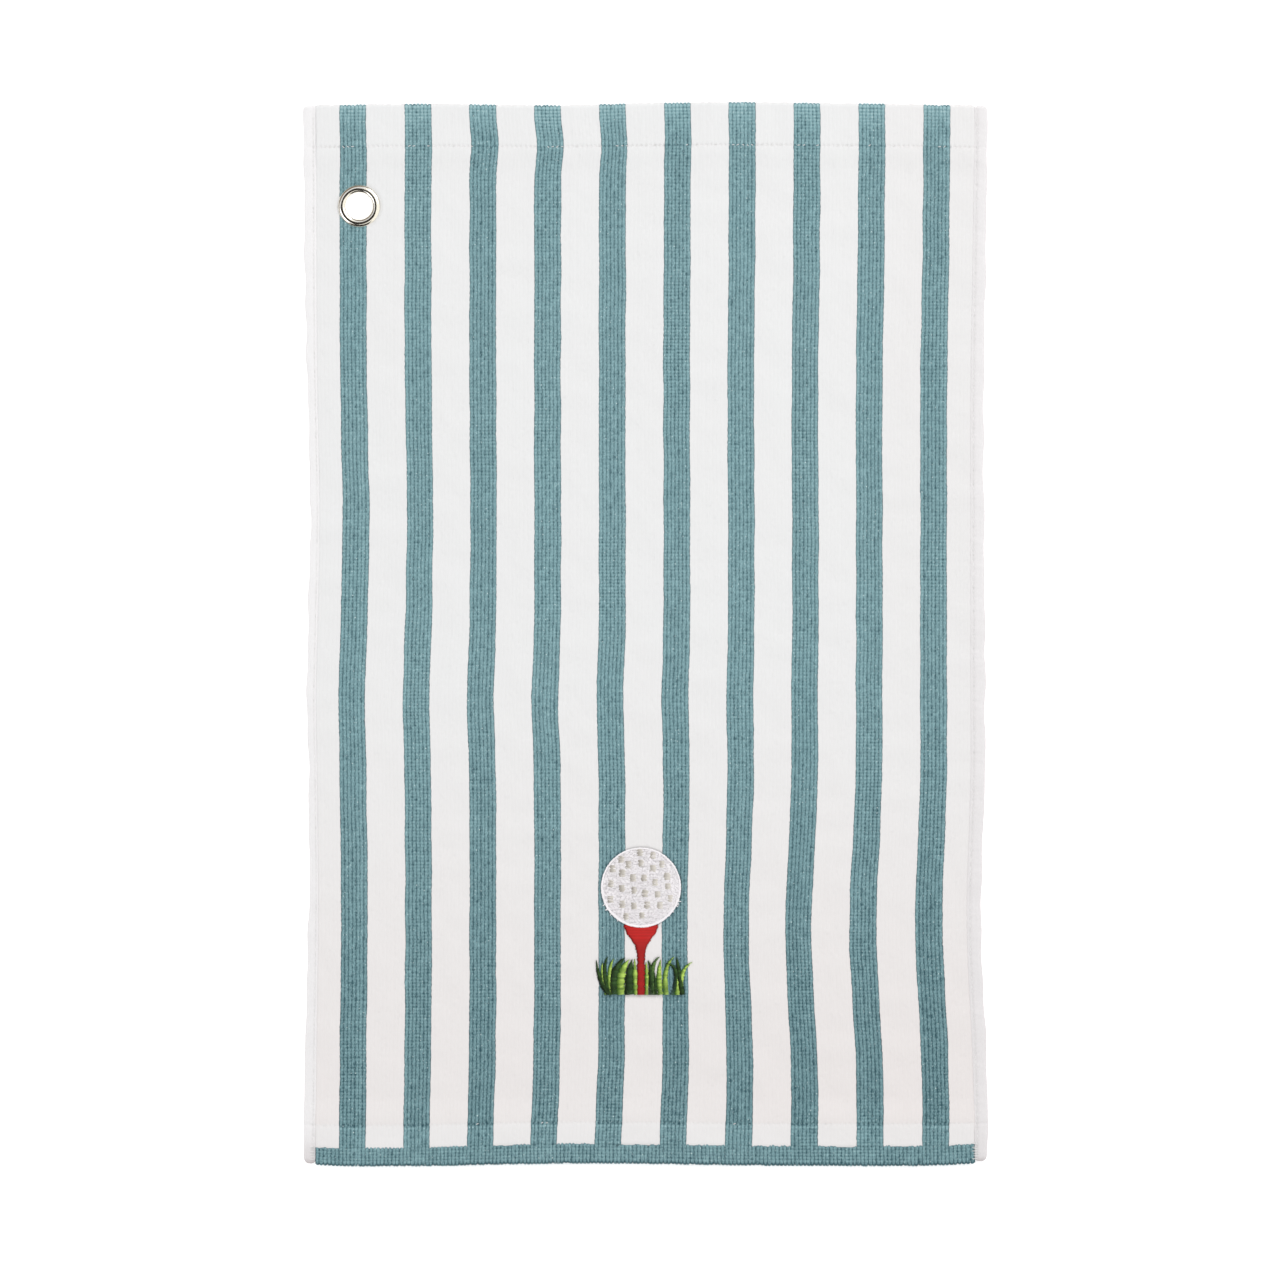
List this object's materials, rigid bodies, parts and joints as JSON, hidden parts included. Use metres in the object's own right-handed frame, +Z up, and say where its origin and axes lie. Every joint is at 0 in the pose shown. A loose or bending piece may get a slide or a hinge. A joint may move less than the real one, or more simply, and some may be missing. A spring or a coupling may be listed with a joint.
{
  "type": "golf towel",
  "caption": "Striped cotton golf towel with a velour face, hemmed all round, with a metal grommet in one corner and an embroidered ball on a tee.",
  "frame": {"origin": "middle of the underside of the towel as it lies flat, on the surface it rests on", "axes": "+Z up out of the velour face, +Y along the length towards the hem by the grommet, +X across to the right seen from the face"},
  "size_m": [0.407, 0.634, 0.0048],
  "materials": {
    "white_cotton": "matte",
    "white_pile": "matte",
    "teal_pile": "matte",
    "sewing_thread": "matte",
    "plated_metal": "polished",
    "white_rayon": "satin",
    "beige_rayon": "satin",
    "red_rayon": "satin",
    "dark_green_rayon": "satin",
    "mid_green_rayon": "satin",
    "light_green_rayon": "satin",
    "backing": "matte"
  },
  "bodies": {
    "root": {"ground_weave": "white_cotton", "teal_stripe_01": "teal_pile", "teal_stripe_02": "teal_pile", "teal_stripe_03": "teal_pile", "teal_stripe_04": "teal_pile", "teal_stripe_05": "teal_pile", "teal_stripe_06": "teal_pile", "teal_stripe_07": "teal_pile", "teal_stripe_08": "teal_pile", "teal_stripe_09": "teal_pile", "teal_stripe_10": "teal_pile", "white_stripe_01": "white_pile", "white_stripe_02": "white_pile", "white_stripe_03": "white_pile", "white_stripe_04": "white_pile", "white_stripe_05": "white_pile", "white_stripe_06": "white_pile", "white_stripe_07": "white_pile", "white_stripe_08": "white_pile", "white_stripe_09": "white_pile", "white_stripe_10": "white_pile", "white_stripe_11": "white_pile", "teal_end_band": "teal_pile", "teal_back_loops": "teal_pile", "white_back_loops": "white_pile", "left_side_hem": "white_cotton", "right_side_hem": "white_cotton", "top_hem_thread": "sewing_thread", "bottom_hem_thread": "sewing_thread", "left_hem_thread": "sewing_thread", "right_hem_thread": "sewing_thread", "grommet_eyelet": "plated_metal", "grommet_washer": "plated_metal", "ball_fill": "white_rayon", "ball_border": "white_rayon", "ball_dimples": "beige_rayon", "tee": "red_rayon", "grass_dark": "dark_green_rayon", "grass_mid": "mid_green_rayon", "grass_light": "light_green_rayon", "embroidery_backing": "backing", "bobbin_thread": "sewing_thread"}
  },
  "joints": []
}
